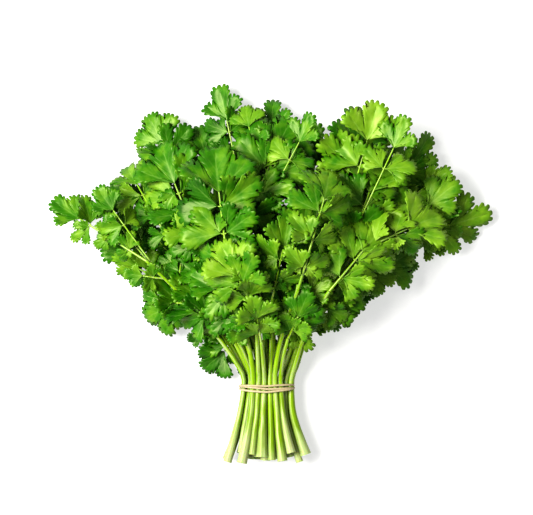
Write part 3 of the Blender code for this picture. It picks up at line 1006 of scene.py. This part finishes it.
def grow_stem(number):
    """One stem with its rachis, side branches and stalks, as one mesh."""
    middles, radii = living[number]
    plan = plans[number]
    top = radii[-1] * RACHIS_RADIUS
    rachis = [p - Vector((0, 0, top * RACHIS_DROP)) for p in plan["rachis"]]
    points, sizes = [*middles, *rachis], list(radii)
    sizes += [top + (RACHIS_END_RADIUS - top) * (k + 1) / len(rachis) for k in range(len(rachis))]
    curve = carrier(f"stem_line_{number + 1:02d}", rib_profile)
    add_line(curve, *smooth_line(points, sizes, STEM_SPACING))
    for stalk, stalk_sizes in plan["stalks"]:
        low = [p - Vector((0, 0, STALK_RADIUS)) for p in stalk]
        add_line(curve, *smooth_line(low, stalk_sizes, STALK_SPACING))
    return to_mesh(curve, f"stalk_{number + 1:02d}")


# %% The cut ends

CUT_RIM = 0.45 * MM
CUT_DEPTH = 0.5 * MM
PITH_INSET = 0.8 * MM
SOFT_ANGLE = math.radians(40)  # the ribs stay soft, the rim of the cut stays sharp


def close_and_cut(stem):
    """Fills the open ends, and sinks a paler pith into the cut end."""
    stem.data.materials.clear()
    stem.data.materials.append(stem_skin)
    stem.data.materials.append(stem_pith)
    bpy.ops.object.mode_set(mode="EDIT")
    bpy.ops.mesh.select_all(action="SELECT")
    bpy.ops.mesh.fill_holes(sides=0)
    bpy.ops.mesh.select_all(action="DESELECT")
    bpy.ops.object.mode_set(mode="OBJECT")
    # The sides are quads, so the faces with more corners are the ends.
    ends = [face for face in stem.data.polygons if len(face.vertices) > 4]
    cut = min(ends, key=lambda face: face.center.y)
    cut.select = True
    cut.material_index = 1
    bpy.ops.object.mode_set(mode="EDIT")
    bpy.ops.mesh.select_mode(type="FACE")
    bpy.ops.mesh.inset(thickness=CUT_RIM)
    bpy.ops.mesh.extrude_region_move(TRANSFORM_OT_translate={"value": (0, CUT_DEPTH, 0)})
    bpy.ops.mesh.inset(thickness=PITH_INSET)
    bpy.ops.object.mode_set(mode="OBJECT")
    bpy.ops.object.shade_smooth_by_angle(angle=SOFT_ANGLE)
    tone = stem.data.attributes.new("tone", "FLOAT", "POINT")
    tone.data.foreach_set("value", np.full(len(stem.data.vertices), rng.random(), np.float32))


for i in range(SPRIGS):
    stalk = grow_stem(i)
    close_and_cut(stalk)
    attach(stalk, "root")
    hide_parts(f"stem_{i + 1:02d}")
print("stems grown:", SPRIGS)

# %% [markdown]
# ## Elastic band
#
# The band is natural rubber, tan and matte, a flat strip 1.4 mm wide. It is one closed loop that
# goes round the stems three times, with its turns side by side and crossing once. It could be three
# rings, but a curve with a rounded flat profile can follow the real path, so the turns cross too.

# %% Rubber

# Cut rubber is dull and dusted with talc, which gives a faint grain of two tans.
rubber, output = new_material("natural_rubber_band")
place = add(rubber, "TexCoord")
dust = add(rubber, "TexNoise", {"Vector": place.outputs["Object"], "Scale": 900.0, "Detail": 3.0})
tans = ramp_of(rubber, dust.outputs["Fac"], ((0.0, "968662"), (1.0, "c2b698")))
grit = add(rubber, "Bump", {"Height": dust.outputs["Fac"], "Strength": 0.25, "Distance": 0.1 * MM})
dull = {"Base Color": tans, "Roughness": 0.55, "IOR": 1.52, "Normal": grit.outputs[0]}
skin = add(rubber, "BsdfPrincipled", dull)
rubber.node_tree.links.new(skin.outputs[0], output.inputs[0])
print("rubber:", rubber.name)

# %% The band's section

BAND_WIDTH = 1.4 * MM
BAND_DEPTH = 1.0 * MM
BAND_ROUNDING = 0.48 * MM
section = []
for sign_x, sign_y, start in ((1, 1, 0), (-1, 1, 90), (-1, -1, 180), (1, -1, 270)):
    for k in range(4):
        a = math.radians(start + 30 * k)
        x = sign_x * (BAND_DEPTH / 2 - BAND_ROUNDING) + BAND_ROUNDING * math.cos(a)
        y = sign_y * (BAND_WIDTH / 2 - BAND_ROUNDING) + BAND_ROUNDING * math.sin(a)
        section.append((x, y))
band_profile = profile_of("band_section", section[::-1])
print("points round the band's section:", len(section))

# %% Winding the band

BAND_TURNS = 3
POINTS_PER_TURN = 48
SQUARENESS = 2.6  # between an ellipse, which has 2, and the box round the rows of stems
BAND_TIGHTNESS = (2.3 * MM, 1.6 * MM)  # how far inside the plain band its line runs, in X and Z
BAND_SPREAD = 2.15 * MM  # how far the turns part on top; at the sides they run closer together
SIDE_SPREAD = 0.45  # and how much of that is left there
BAND_SAG = 1.1 * MM  # how far it is pulled towards the cut ends on top, and to the leaves below
BAND_STEP = 0.3 * MM  # turns run up to this much further out or in, to pass over each other
low, high = band_box
band_middle = (low + high) / 2
half_x = (high.x - low.x) / 2 - BAND_TIGHTNESS[0]
half_z = (high.z - low.z) / 2 - BAND_TIGHTNESS[1]
route = []
for k in range(BAND_TURNS * POINTS_PER_TURN):
    turn = math.tau * k / POINTS_PER_TURN
    phase = turn / BAND_TURNS
    c, s = math.cos(turn), math.sin(turn)
    grow = (abs(c) ** SQUARENESS + abs(s) ** SQUARENESS) ** (-1 / SQUARENESS)
    out = BAND_STEP * math.sin(phase)
    spread = BAND_SPREAD * math.cos(phase) * (SIDE_SPREAD + (1 - SIDE_SPREAD) * abs(s))
    sag = BAND_SAG * (1 - min(1.0, abs(c * grow))) * math.copysign(1, s)
    x = band_middle.x + c * grow * (half_x + out)
    y = band_middle.y + spread - sag
    z = band_middle.z + s * grow * (half_z + out)
    route.append((x, y, z))
curve = carrier("band_line", band_profile)
add_line(curve, route, [1.0] * len(route), closed=True)
band = to_mesh(curve, "wound_band")
band.data.materials.clear()
band.data.materials.append(rubber)
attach(band, "root")
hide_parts("elastic_band")
print("band faces:", len(band.data.polygons))

# %% [markdown]
# ## Clearing up and finishing
#
# The master leaflets and the profiles have done their work and are removed.

# %% Clear up and finish

for helper in [*masters.values(), rib_profile, band_profile]:
    bpy.data.objects.remove(helper)
